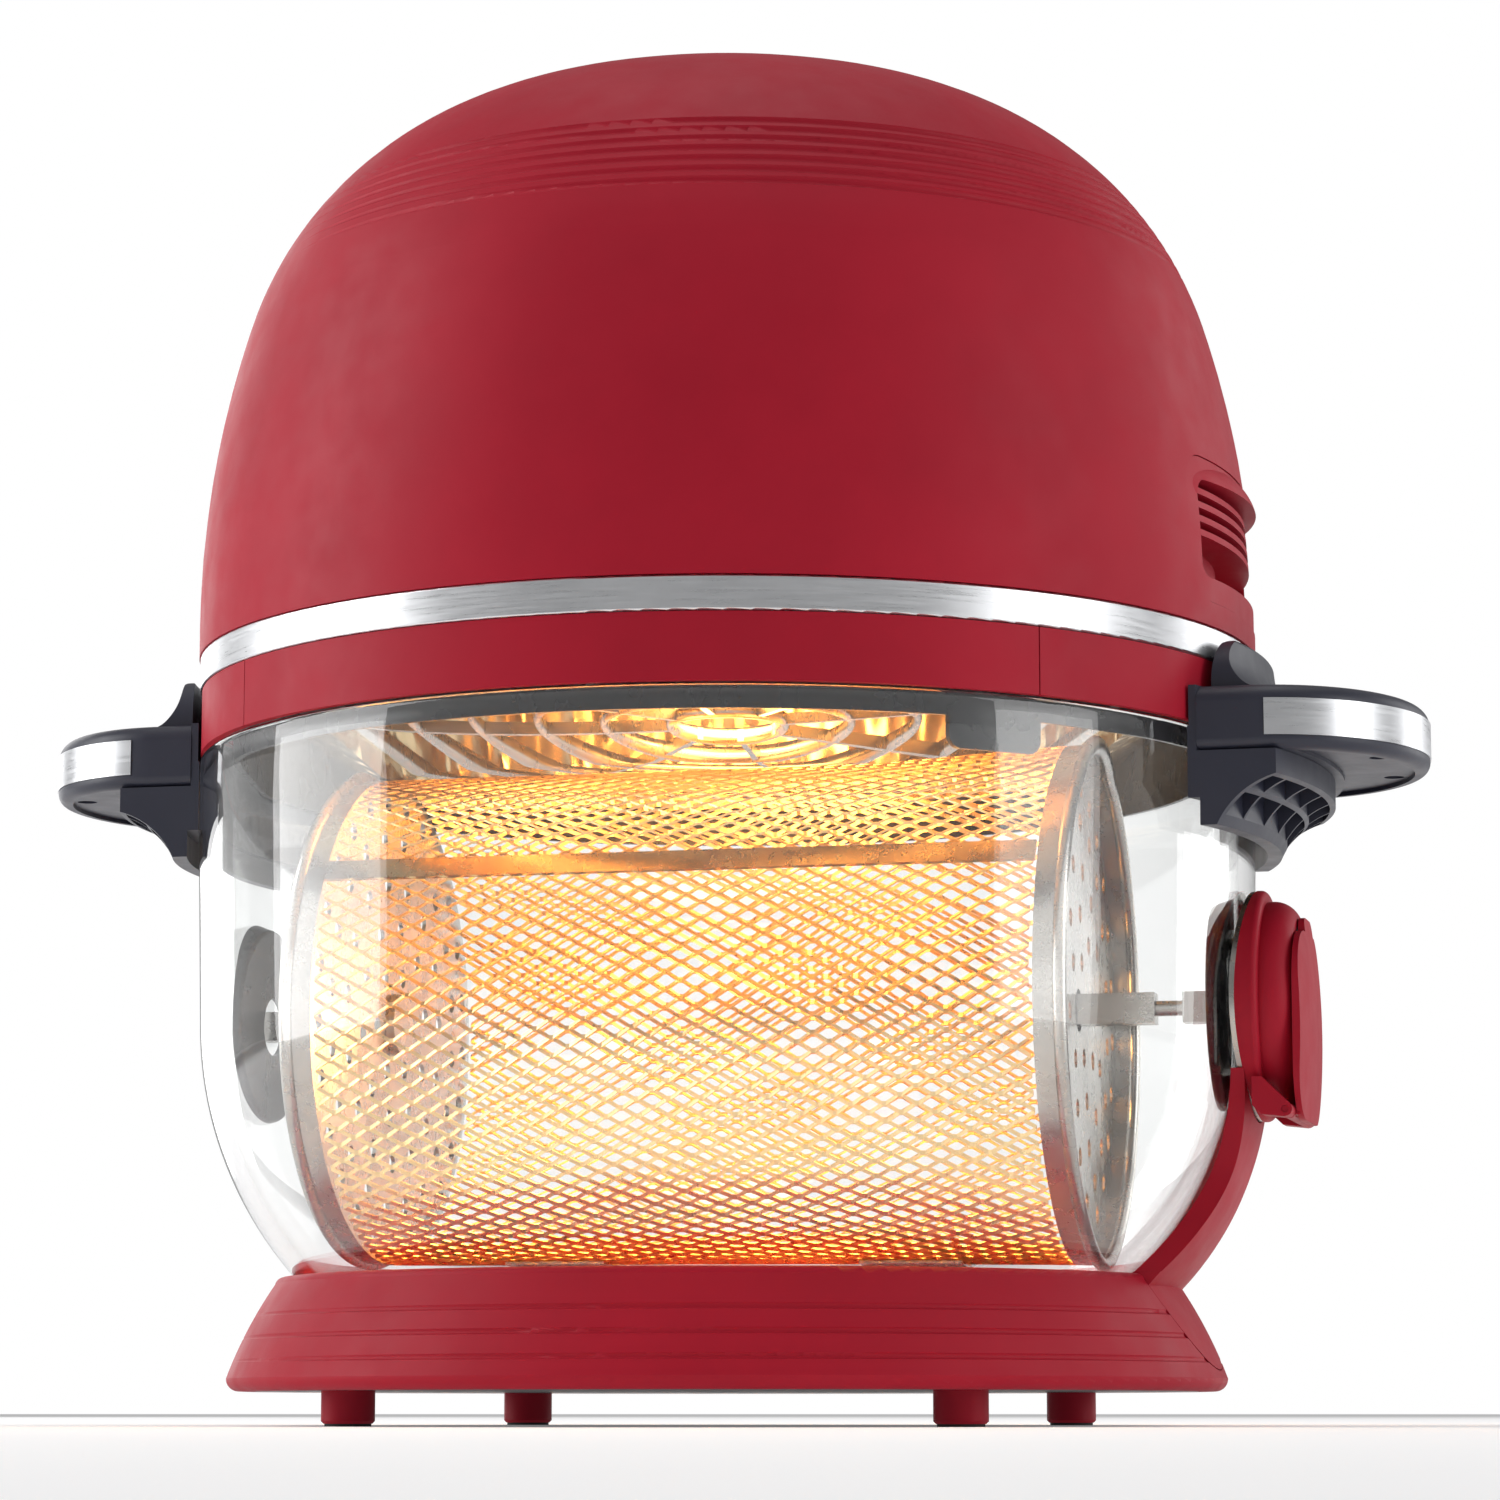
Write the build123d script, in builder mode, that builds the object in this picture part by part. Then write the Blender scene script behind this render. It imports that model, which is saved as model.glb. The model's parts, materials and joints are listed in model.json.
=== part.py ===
"""Rotisserie oven: glass bowl on a driven base, mesh drum inside, heater head on top.

The origin is on the table at the bowl's centre line. +Z is up, -Y is the front,
and +X is the side of the drive arm. All sizes are in millimetres.
"""
import os
from math import asin, cos, degrees, radians, sin, sqrt

from build123d import *

os.makedirs("parts", exist_ok=True)

# Glass bowl
bowl_r = 127.0             # outside radius at the rim
bowl_belly_r = 125.9       # outside radius where the straight wall begins
bowl_belly_z = 95.0
bowl_flank_arc = 90.0      # large arc from the wall to the knuckle
bowl_knuckle_arc = 34.0    # small arc down to the flat bottom
bowl_rim_z = 158.2
glass_wall = 4.0

# Base
foot_height = 8.0
foot_r = 6.1
pad_height = 0.6
base_r = 118.4
base_top_z = 34.5
base_wall = 2.4
base_lip_r = 105.2         # where the flank ends and the flat lip begins
plate_hole_r = 112.0       # opening under the base, closed by the bottom plate
plate_top_z = 10.4
inlet_z = 19.0
bowl_gap = 1.2             # between the glass and the base dish

# Drive arm and its housing
drive_z = 97.0             # height of the drum axis
arm_width = 50.0           # at both ends
arm_waist = 29.8
arm_top_z = 90.0
housing_r = 27.0
arm_arc_x, arm_arc_z, arm_arc_r = 53.2, 84.4, 75.9
flap_pin_x, flap_pin_z = 136.5, 71.5

# Drum
drum_r = 59.6
drum_wall = 0.8
drum_half = 84.0
seam_angle = 148.0         # from the rear, over the top, to the seam at the front
hinge_angle = 270.0
square_side = 7.1

# Head
skirt_r = 126.8
skirt_bottom_z = 158.6
band_bottom_z = 173.7
dome_bottom_z = 181.8
dome_r = 127.6
dome_tangent_z = 189.75
dome_arcs = ((242.2, 17.4), (85.9, 56.6), (211.3, 16.0))   # radius and turn of each arc
dome_wall = 2.6
panel_r = 46.0
vent_z = 204.5
gland_z = 196.0
grille_z = 164.0
heater_z = 176.0
reflector_top_z = 204.8

# Handles
handle_reach = 168.9
handle_half_width = 46.0
handle_bottom_z = 151.3
handle_top_z = 166.3
handle_root_x = 131.5       # where the sides of a plate start to curve
inlay_start_x = 136.0
bracket_r = 129.2

# Centres of the two arcs in the bowl's outline, which meet at 45 degrees
flank_centre = (bowl_belly_r - bowl_flank_arc, bowl_belly_z)
centre_step = (bowl_flank_arc - bowl_knuckle_arc) * cos(radians(45))
knuckle_centre = (flank_centre[0] + centre_step, flank_centre[1] - centre_step)
bowl_bottom_z = knuckle_centre[1] - bowl_knuckle_arc


def across(x):
    """Plane square to the drum axis at x: its own x runs along +Y, its own y along +Z."""
    return Plane(origin=(x, 0, drive_z), x_dir=(0, 1, 0), z_dir=(1, 0, 0))


def side_plane(x):
    """Plane square to X at x, measured from the table."""
    return Plane(origin=(x, 0, 0), x_dir=(0, 1, 0), z_dir=(1, 0, 0))


def rear_plane(y, z):
    """Plane square to Y at the height z, facing the rear."""
    return Plane(origin=(0, y, z), x_dir=(1, 0, 0), z_dir=(0, 1, 0))


def polar_spot(centre_x, radius, angle):
    """Point on a circle whose centre is at centre_x on the first axis."""
    return (centre_x + radius * cos(radians(angle)), radius * sin(radians(angle)))


def save(node, name):
    node.part.label = name
    export_step(node.part, f"parts/{name}.step")


def faded_grooves(spots, groove_r, lift, shift, turn):
    """Rings that cut grooves at spots (radius and height), moved by shift away from the angle
    turn so that they are deepest on that side and run out on the other."""
    middle = Vector(-shift * cos(radians(turn)), -shift * sin(radians(turn)), 0)
    with BuildSketch(Plane(origin=middle, x_dir=(1, 0, 0), z_dir=(0, -1, 0))) as circles:
        for spot in spots:
            with Locations((spot[0] + lift, spot[1])):
                Circle(groove_r)
    return revolve(circles.sketch, axis=Axis(middle, (0, 0, 1)), mode=Mode.PRIVATE)


def ring_profile(inner, outer, low, high):
    """Rectangle from radius inner to outer and height low to high, on the current sketch."""
    with Locations(((inner + outer) / 2, (low + high) / 2)):
        Rectangle(outer - inner, high - low)


def ring(inner, outer, low, high, mode=Mode.ADD):
    """Ring about Z in the current part."""
    with BuildSketch(Plane.XZ, mode=Mode.PRIVATE) as profile:
        ring_profile(inner, outer, low, high)
    revolve(profile.sketch, axis=Axis.Z, mode=mode)


def bowl_half(offset):
    """Outside line of the bowl from the axis to the belly, moved out by offset."""
    Line((0, bowl_bottom_z - offset), (knuckle_centre[0], bowl_bottom_z - offset))
    CenterArc(knuckle_centre, bowl_knuckle_arc + offset, -90, 45)
    CenterArc(flank_centre, bowl_flank_arc + offset, -45, 45)
    return bowl_belly_r + offset


# ---------------------------------------------------------------- glass bowl

with BuildPart() as glass_bowl:
    with BuildSketch(Plane.XZ):
        with BuildLine():
            outer_belly = bowl_half(0)
            inner_belly = bowl_half(-glass_wall)
            Line((0, bowl_bottom_z), (0, bowl_bottom_z + glass_wall))
            lip_z = bowl_rim_z - glass_wall / 2
            Polyline((outer_belly, bowl_belly_z), (bowl_r, 141), (bowl_r, lip_z))
            Polyline((inner_belly, bowl_belly_z), (bowl_r - glass_wall, 141), (bowl_r - glass_wall, lip_z))
            ThreePointArc((bowl_r, lip_z), (bowl_r - glass_wall / 2, bowl_rim_z), (bowl_r - glass_wall, lip_z))
        make_face()
    revolve(axis=Axis.Z)
save(glass_bowl, "glass_bowl")

# ---------------------------------------------------------------- base

deck_z = bowl_bottom_z - bowl_gap
flank_top_r, flank_top_z = 107.2, 33.0
dish_arc = bowl_flank_arc + bowl_gap
dish_knuckle = bowl_knuckle_arc + bowl_gap
dish_lip_r = flank_centre[0] + sqrt(dish_arc ** 2 - (bowl_belly_z - base_top_z) ** 2)
dish_lip_angle = degrees(asin((bowl_belly_z - base_top_z) / dish_arc))
corner_r = 3.0


def base_outer_line():
    """Rounded foot of the base and its crowned flank, from the underside to the lip."""
    Line((plate_hole_r, foot_height), (base_r - corner_r, foot_height))
    CenterArc((base_r - corner_r, foot_height + corner_r), corner_r, -90, 90)
    ThreePointArc((base_r, foot_height + corner_r), (112.6, 24.0), (flank_top_r, flank_top_z))
    ThreePointArc((flank_top_r, flank_top_z), (106.4, 34.2), (base_lip_r, base_top_z))


def base_inner_line(top):
    """Inside of the flank, from top down to the rim that carries the bottom plate."""
    inside = base_r - base_wall
    ThreePointArc(top, (110.6, 22.5), (inside, foot_height + corner_r))
    Polyline((inside, foot_height + corner_r), (inside, plate_top_z), (plate_hole_r, plate_top_z),
             (plate_hole_r, foot_height))


def tongue_outline(grow):
    """Root of the drive arm seen from the side: wide at the lip, narrow at its round end."""
    half_top = arm_width / 2 + grow
    with BuildSketch(Plane.XY) as outline:
        with BuildLine():
            Spline((half_top, base_top_z), (22.0 + grow, 24.0), (14.0 + grow, 16.5 - grow), (0, 13.0 - grow),
                   (-14.0 - grow, 16.5 - grow), (-22.0 - grow, 24.0), (-half_top, base_top_z))
            Polyline((-half_top, base_top_z), (-half_top, base_top_z + 0.4), (half_top, base_top_z + 0.4),
                     (half_top, base_top_z))
        make_face()
    return outline.sketch


with BuildPart() as base_shell:
    with BuildSketch(Plane.XZ):
        with BuildLine():
            base_outer_line()
            Line((base_lip_r, base_top_z), (dish_lip_r, base_top_z))
            CenterArc(flank_centre, dish_arc, -45, 45 - dish_lip_angle)
            CenterArc(knuckle_centre, dish_knuckle, -90, 45)
            Polyline((knuckle_centre[0], deck_z), (0, deck_z), (0, deck_z - base_wall),
                     (knuckle_centre[0], deck_z - base_wall))
            under_arc = CenterArc(knuckle_centre, dish_knuckle + base_wall, -90, 43)
            Line(under_arc @ 1, (104.4, 30.6))
            base_inner_line((104.4, 30.6))
        make_face()
    revolve(axis=Axis.Z)
    # Three grooves across the front, deepest at the drive side and run out before the left
    add(faded_grooves(((116.9, 15.2), (114.4, 20.6), (111.7, 25.9)), 0.8, 0.65, 0.5, -60), mode=Mode.SUBTRACT)
    # Seat for the root of the drive arm
    with BuildSketch(side_plane(97)):
        add(tongue_outline(0.3))
    extrude(amount=33, mode=Mode.SUBTRACT)
    # Hole for the power inlet at the rear
    with BuildSketch(rear_plane(100, inlet_z)):
        Circle(5.2)
    extrude(amount=25, mode=Mode.SUBTRACT)
save(base_shell, "base_shell")

foot_spots = [(70.5, 71.0), (-70.5, 71.0), (-70.5, -71.0), (70.5, -71.0)]
screw_spots = [(95.0, 40.0), (-95.0, 40.0), (-95.0, -40.0), (95.0, -40.0)]

head_depth = 1.4
with BuildPart() as base_bottom_plate:
    with BuildSketch(Plane.XY.offset(foot_height)):
        Circle(plate_hole_r - 0.4)
        with Locations(*screw_spots):
            Circle(1.8, mode=Mode.SUBTRACT)
    extrude(amount=plate_top_z - foot_height)
    with BuildSketch(Plane.XY.offset(foot_height)):
        with Locations(*screw_spots):
            Circle(3.4)
    extrude(amount=head_depth, mode=Mode.SUBTRACT)
save(base_bottom_plate, "base_bottom_plate")

with BuildPart() as base_plate_screws:
    with BuildSketch(Plane.XY.offset(foot_height + 0.1)):
        with Locations(*screw_spots):
            Circle(3.2)
    extrude(amount=head_depth - 0.1)
    with BuildSketch(Plane.XY.offset(foot_height + head_depth)):
        with Locations(*screw_spots):
            Circle(1.5)
    extrude(amount=7.0)
save(base_plate_screws, "base_plate_screws")

with BuildPart() as feet:
    with BuildSketch(Plane.XY.offset(pad_height)):
        with Locations(*foot_spots):
            Circle(foot_r)
    extrude(amount=foot_height - pad_height)
    chamfer(feet.edges().group_by(Axis.Z)[0], 0.6)
save(feet, "feet")

with BuildPart() as foot_pads:
    with BuildSketch(Plane.XY):
        with Locations(*foot_spots):
            Circle(foot_r - 0.8)
    extrude(amount=pad_height)
save(foot_pads, "foot_pads")

with BuildPart() as bowl_seat_ring:
    ring(61.0, 69.0, deck_z, bowl_bottom_z - 0.3)
save(bowl_seat_ring, "bowl_seat_ring")

with BuildPart() as dc_inlet:
    inlet_plane = rear_plane(104.0, inlet_z)
    with BuildSketch(inlet_plane):
        Circle(5.0)
    extrude(amount=12.5)
    with BuildSketch(inlet_plane.offset(3.5)):
        Circle(3.1)
        Circle(1.0, mode=Mode.SUBTRACT)
    extrude(amount=9.0, mode=Mode.SUBTRACT)
save(dc_inlet, "dc_inlet")

# ---------------------------------------------------------------- drive arm

arm_skin = 2.2
liner_wall = 1.3
liner_low_z, liner_high_z = 37.7, 77.3
cable_low_z, cable_high_z = 40.0, 63.0
cable_width = 8.0


def keep_wall(low, high):
    """Keep the part of the current section that lies at the bowl's wall between two heights."""
    with Locations((bowl_belly_r, (low + high) / 2)):
        Rectangle(60, high - low, mode=Mode.INTERSECT)


def cut_motor_seat():
    """Round seat under the motor housing."""
    with BuildSketch(across(100)) as seat:
        Circle(housing_r + 0.2)
    extrude(seat.sketch, amount=40, mode=Mode.SUBTRACT)


def arm_band(inner_arc, outer_arc, low, high):
    """Band between an arc that follows the glass and one that follows the arm's back."""
    with BuildSketch(Plane.XZ) as band:
        with Locations((arm_arc_x, arm_arc_z)):
            Circle(outer_arc)
        with Locations(flank_centre):
            Circle(inner_arc, mode=Mode.SUBTRACT)
        keep_wall(low, high)
    return revolve(band.sketch, axis=Axis.Z, mode=Mode.PRIVATE)


def arm_outline(inset):
    """Side outline of the arm above the lip: wide at both ends, with a waist between."""
    half = arm_width / 2 - inset
    waist = arm_waist / 2 - inset
    spots = ((half, base_top_z - 0.5), (half - 3.4, 40.0), (waist + 2.6, 48.0), (waist, 57.0),
             (waist + 1.4, 66.0), (half - 5.0, 76.0), (half, arm_top_z + 1.0))
    with BuildSketch(Plane.XY) as outline:
        with BuildLine():
            Spline(*spots)
            Spline(*[(-y, z) for y, z in spots])
            Line(spots[0], (-half, spots[0][1]))
            Line(spots[-1], (-half, spots[-1][1]))
        make_face()
    return outline.sketch


def arm_prism(inset):
    """Prism of the arm's side outline along X."""
    with BuildSketch(side_plane(90), mode=Mode.PRIVATE) as outline:
        add(arm_outline(inset))
    return extrude(outline.sketch, amount=60, mode=Mode.PRIVATE)


with BuildPart() as drive_arm_cover:
    # Above the lip the arm has a waist, and below it narrows to the root's outline
    strip = arm_prism(0)
    with BuildSketch(side_plane(90), mode=Mode.PRIVATE) as tongue:
        add(tongue_outline(0))
    root = extrude(tongue.sketch, amount=40, mode=Mode.PRIVATE)
    add(arm_band(bowl_flank_arc + 1.3, arm_arc_r, 31.5, arm_top_z) & (strip + root))
    with BuildSketch(Plane.XZ, mode=Mode.PRIVATE) as flank_profile:
        with BuildLine():
            base_outer_line()
            Line((base_lip_r, base_top_z), (103.2, 32.6))
            base_inner_line((103.2, 32.6))
        make_face()
    flank = revolve(flank_profile.sketch, axis=Axis.Z, mode=Mode.PRIVATE)
    add(flank & root)
    # Channel for the cable, open towards the glass until the liner closes it
    hollow = arm_band(bowl_flank_arc + 0.5, arm_arc_r - arm_skin, liner_low_z - 0.2, liner_high_z + 0.2)
    add(hollow & arm_prism(3.0), mode=Mode.SUBTRACT)
    cut_motor_seat()
save(drive_arm_cover, "drive_arm_cover")

with BuildPart() as drive_arm_liner:
    with BuildSketch(Plane.XZ):
        with Locations(flank_centre):
            Circle(bowl_flank_arc + 1.0 + liner_wall)
            Circle(bowl_flank_arc + 1.0, mode=Mode.SUBTRACT)
        keep_wall(liner_low_z, liner_high_z)
    revolve(axis=Axis.Z)
    add(arm_prism(3.2), mode=Mode.INTERSECT)
    cut_motor_seat()
save(drive_arm_liner, "drive_arm_liner")

with BuildPart() as motor_cable:
    with BuildSketch(Plane.XZ):
        with Locations(flank_centre):
            Circle(bowl_flank_arc + 3.0)
            Circle(bowl_flank_arc + 2.4, mode=Mode.SUBTRACT)
        keep_wall(cable_low_z, cable_high_z)
    revolve(axis=Axis.Z)
    with Locations((bowl_belly_r, 0, (cable_low_z + cable_high_z) / 2)):
        Box(60, cable_width, 80, mode=Mode.INTERSECT)
save(motor_cable, "motor_cable")

# ---------------------------------------------------------------- motor housing

housing_back_x = 138.0
glass_clear_r = bowl_r + 0.5


def upright(radius, low, high):
    """Cylinder about the bowl's centre line."""
    with BuildSketch(Plane.XY.offset(low)) as disc:
        Circle(radius)
    return extrude(disc.sketch, amount=high - low, mode=Mode.PRIVATE)


with BuildPart() as motor_housing:
    with BuildSketch(Plane.XY):
        with BuildLine():
            Polyline((121, 24.4), (121, housing_r), (129.6, housing_r))
            ThreePointArc((129.6, housing_r), (130.6, 26.5), (131, 25.6))
            Line((131, 25.6), (131, 24.2))
            ThreePointArc((131, 24.2), (136.2, 23.0), (housing_back_x, 20.6))
            Polyline((housing_back_x, 20.6), (housing_back_x, 18.8), (136.6, 18.8), (136.6, 19.8),
                     (130.2, 21.6), (128.8, 24.4), (121, 24.4))
        make_face()
    revolve(axis=Axis.X)
    add(upright(glass_clear_r + 1.2, -45, 45), mode=Mode.SUBTRACT)
    # Lugs for the flap's hinge under the housing
    for side in (-1, 1):
        with BuildSketch(Plane(origin=(0, side * 19.5, 0), x_dir=(1, 0, 0), z_dir=(0, -1, 0))):
            with Locations((flap_pin_x, flap_pin_z - drive_z)):
                Circle(1.65)
            with BuildLine():
                Polyline((129.0, -18.0), (129.0, -24.5), (131.2, -26.6), (flap_pin_x, -27.2),
                         (flap_pin_x + 0.6, -23.8), (131.2, -18.0), close=True)
            make_face()
            with Locations((flap_pin_x, flap_pin_z - drive_z)):
                Circle(0.85, mode=Mode.SUBTRACT)
        extrude(amount=3.5, both=True)
    motor_housing.part = motor_housing.part.moved(Location((0, 0, drive_z)))
save(motor_housing, "motor_housing")

with BuildPart() as housing_trim_ring:
    with BuildSketch(across(115)):
        Circle(housing_r - 0.2)
        Circle(housing_r - 2.0, mode=Mode.SUBTRACT)
    extrude(amount=15)
    add(upright(glass_clear_r + 1.15, drive_z - 40, drive_z + 40), mode=Mode.INTERSECT)
    add(upright(glass_clear_r, drive_z - 40, drive_z + 40), mode=Mode.SUBTRACT)
save(housing_trim_ring, "housing_trim_ring")

with BuildPart() as gear_motor:
    with BuildSketch(across(130.8)):
        Circle(18.0)
    extrude(amount=5.6)
    with BuildSketch(across(129.9)):
        Circle(5.0)
        Circle(2.5, mode=Mode.SUBTRACT)
    extrude(amount=0.9)
save(gear_motor, "gear_motor")

with BuildPart() as motor_cover:
    with BuildSketch(across(136.7)):
        Circle(18.6)
    extrude(amount=1.0)
save(motor_cover, "motor_cover")

with BuildPart() as flap_hinge_pin:
    with BuildSketch(Plane(origin=(flap_pin_x, 22.6, flap_pin_z), x_dir=(1, 0, 0), z_dir=(0, -1, 0))):
        Circle(0.82)
    extrude(amount=45.2)
save(flap_hinge_pin, "flap_hinge_pin")

magnet_count = 6
rotor_r = 16.0


def magnet_ring(x, depth, mode=Mode.ADD):
    """Round magnets in a circle about the drum axis, starting at x."""
    with BuildSketch(across(x)) as circles:
        with PolarLocations(11.0, magnet_count):
            Circle(3.5)
    extrude(circles.sketch, amount=depth, mode=mode)


rotor_x = 127.8            # face of the driving magnets, just outside the glass

with BuildPart() as magnet_rotor:
    with BuildSketch(across(rotor_x)):
        Circle(rotor_r)
    extrude(amount=1.9)
    magnet_ring(rotor_x, 1.3, Mode.SUBTRACT)
    with BuildSketch(across(129.7)):
        Circle(2.2)
    extrude(amount=1.0)
save(magnet_rotor, "magnet_rotor")

with BuildPart() as rotor_magnets:
    magnet_ring(rotor_x + 0.05, 1.2)
save(rotor_magnets, "rotor_magnets")

# ---------------------------------------------------------------- motor flap

with BuildPart() as motor_flap:
    flap_plane = side_plane(138.4)
    with BuildSketch(flap_plane):
        with Locations((0, 91.5)):
            RectangleRounded(44.0, 44.0, 13.0)
        with Locations((0, 110.5)):
            RectangleRounded(15.0, 13.0, 3.0)
    extrude(amount=3.1)
    with Locations((141.5 - 190.0, 0, 91.5)):
        Sphere(190.0, mode=Mode.INTERSECT)
    # Knuckle between the lugs, joined to the flap by a short web
    with BuildSketch(Plane(origin=(0, 15.6, 0), x_dir=(1, 0, 0), z_dir=(0, -1, 0))):
        with Locations((flap_pin_x, flap_pin_z)):
            Circle(1.7)
        with Locations((flap_pin_x + 1.3, flap_pin_z)):
            Rectangle(2.6, 1.8)
        with Locations((flap_pin_x, flap_pin_z)):
            Circle(0.95, mode=Mode.SUBTRACT)
    extrude(amount=31.2)
save(motor_flap, "motor_flap")

# ---------------------------------------------------------------- pucks in the bowl

puck_face_x = 116.8
puck_r, puck_base_r = 24.0, 26.0
glass_inside_r = 121.6


def puck(side):
    """Round housing bonded to the inside of the bowl, with a cavity for what turns in it."""
    with BuildPart() as body:
        with BuildSketch(Plane.XY):
            with BuildLine():
                Polyline((puck_face_x, 7.2), (puck_face_x, puck_r - 1.2))
                ThreePointArc((puck_face_x, puck_r - 1.2), (puck_face_x + 0.35, puck_r - 0.35),
                              (puck_face_x + 1.2, puck_r))
                Polyline((puck_face_x + 1.2, puck_r), (123.6, puck_base_r), (123.6, 18.6), (118.0, 18.6),
                         (118.0, 7.2), (puck_face_x, 7.2))
            make_face()
        revolve(axis=Axis.X)
        add(upright(glass_inside_r, -45, 45), mode=Mode.INTERSECT)
        # The glass narrows below the drum axis, and the housing follows it
        with BuildSketch(Plane.XZ):
            with BuildLine():
                Line((0, -60), (0, 40))
                Line((0, 40), (121.5, 40))
                Line((121.5, 40), (121.5, 0))
                CenterArc((flank_centre[0], -2.0), 85.6, -35, 35)
                Line((flank_centre[0] + 85.6 * cos(radians(35)), -2.0 - 85.6 * sin(radians(35))), (60, -60))
                Line((60, -60), (0, -60))
                Line((121.5, 0), (flank_centre[0] + 85.6, -2.0))
            make_face()
        revolve(axis=Axis.Z, mode=Mode.INTERSECT)
    placed = body.part.moved(Location((0, 0, drive_z)))
    return placed if side > 0 else placed.mirror(Plane.YZ)


with BuildPart() as drive_puck_housing:
    add(puck(1))
save(drive_puck_housing, "drive_puck_housing")

with BuildPart() as bearing_puck_housing:
    add(puck(-1))
save(bearing_puck_housing, "bearing_puck_housing")

# ---------------------------------------------------------------- drum

hub_r = 6.6


def ring_sector(inner, outer, start, turn):
    """Part of a ring, angles measured from the sketch's first axis towards its second."""
    with BuildSketch(Plane.XY) as sector:
        with BuildLine():
            CenterArc((0, 0), outer, start, turn)
            CenterArc((0, 0), inner, start, turn)
            for angle in (start, start + turn):
                Line(polar_spot(0, inner, angle), polar_spot(0, outer, angle))
        make_face()
    return sector.sketch


with BuildPart() as basket_door:
    with BuildSketch(across(-drum_half)):
        add(ring_sector(drum_r - drum_wall, drum_r, seam_angle + 0.4, hinge_angle - seam_angle - 1.0))
    extrude(amount=2 * drum_half)
save(basket_door, "basket_door")

with BuildPart() as basket_mesh_body:
    with BuildSketch(across(-drum_half)):
        add(ring_sector(drum_r - drum_wall, drum_r, hinge_angle, 360.0 - (hinge_angle - seam_angle) - 0.2))
    extrude(amount=2 * drum_half)
save(basket_mesh_body, "basket_mesh_body")

with BuildPart() as basket_seam_strip:
    with BuildSketch(across(-drum_half)):
        add(ring_sector(drum_r + 0.05, drum_r + 0.95, seam_angle - 2.6, 5.2))
    extrude(amount=2 * drum_half)
save(basket_seam_strip, "basket_seam_strip")

hole_r = 2.25
hole_rings = ((13.0, 6), (23.5, 10), (34.5, 15), (45.5, 20), (54.0, 25))


def basket_end(side):
    """Perforated end disc with a short collar and a rolled rim."""
    with BuildPart() as body:
        with BuildSketch(Plane.XY):
            with BuildLine():
                Polyline((84.3, 5.1), (84.3, drum_r), (89.6, drum_r), (89.6, drum_r - drum_wall),
                         (85.3, drum_r - drum_wall), (85.3, 5.1), close=True)
            make_face()
            with Locations((90.3, drum_r - 0.2)):
                Circle(1.55)
        revolve(axis=Axis.X)
        for ring_r, count in hole_rings:
            with BuildSketch(Plane.YZ.offset(84.0)):
                with PolarLocations(ring_r, count, start_angle=ring_r * 5):
                    Circle(hole_r)
            extrude(amount=1.6, mode=Mode.SUBTRACT)
    placed = body.part.moved(Location((0, 0, drive_z)))
    return placed if side > 0 else placed.mirror(Plane.YZ)


with BuildPart() as basket_end_right:
    add(basket_end(1))
save(basket_end_right, "basket_end_right")

with BuildPart() as basket_end_left:
    add(basket_end(-1))
save(basket_end_left, "basket_end_left")


def spindle(side):
    """Square shaft with a round neck and a square end block."""
    with BuildPart() as body:
        for start, length in ((83.0, 20.5), (109.9, 9.6)):
            with BuildSketch(Plane.YZ.offset(start)):
                Rectangle(square_side, square_side)
            extrude(amount=length)
        with BuildSketch(Plane.YZ.offset(103.5)):
            Circle(1.8)
        extrude(amount=6.4)
        with BuildSketch(Plane.YZ.offset(82.0)):
            Circle(7.5)
        extrude(amount=2.2)
    placed = body.part.moved(Location((0, 0, drive_z)))
    return placed if side > 0 else placed.mirror(Plane.YZ)


with BuildPart() as spindle_right:
    add(spindle(1))
save(spindle_right, "spindle_right")

with BuildPart() as spindle_left:
    add(spindle(-1))
save(spindle_left, "spindle_left")

with BuildPart() as driven_rotor:
    with BuildSketch(across(118.3)):
        Circle(rotor_r)
        Rectangle(square_side + 0.1, square_side + 0.1, mode=Mode.SUBTRACT)
    extrude(amount=1.8)
    with BuildSketch(across(116.0)):
        Circle(hub_r)
        Rectangle(square_side + 0.1, square_side + 0.1, mode=Mode.SUBTRACT)
    extrude(amount=2.3)
    magnet_ring(118.9, 1.3, Mode.SUBTRACT)
save(driven_rotor, "driven_rotor")

with BuildPart() as driven_magnets:
    magnet_ring(118.95, 1.1)
save(driven_magnets, "driven_magnets")

hinge_centres = (-40.0, 46.5)
hinge_length = 24.5
knuckle_count = 5
hinge_drop = drum_r + 1.7
knuckle_r = 1.5


def hinge_knuckles(parity):
    """Every second knuckle of both door hinges."""
    pitch = hinge_length / knuckle_count
    for centre in hinge_centres:
        for index in range(parity, knuckle_count, 2):
            with BuildSketch(across(centre - hinge_length / 2 + index * pitch + 0.1)) as knuckle:
                with Locations((0, -hinge_drop)):
                    Circle(knuckle_r)
                with Locations(((1 - 2 * parity) * 1.3, -(drum_r + 0.42))):
                    Rectangle(2.6, 0.66)
                with Locations((0, -hinge_drop)):
                    Circle(0.75, mode=Mode.SUBTRACT)
            extrude(knuckle.sketch, amount=pitch - 0.2)


def hinge_leaf(start, turn):
    """Curved leaf of each hinge against the outside of the drum."""
    for centre in hinge_centres:
        with BuildSketch(across(centre - hinge_length / 2)) as leaf:
            add(ring_sector(drum_r + 0.05, drum_r + 0.75, start, turn))
        extrude(leaf.sketch, amount=hinge_length)


with BuildPart() as hinge_body_leaves:
    hinge_knuckles(0)
    hinge_leaf(hinge_angle + 1.7, 8.0)
save(hinge_body_leaves, "hinge_body_leaves")

with BuildPart() as hinge_door_leaves:
    hinge_knuckles(1)
    hinge_leaf(hinge_angle - 9.7, 8.0)
save(hinge_door_leaves, "hinge_door_leaves")

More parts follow.
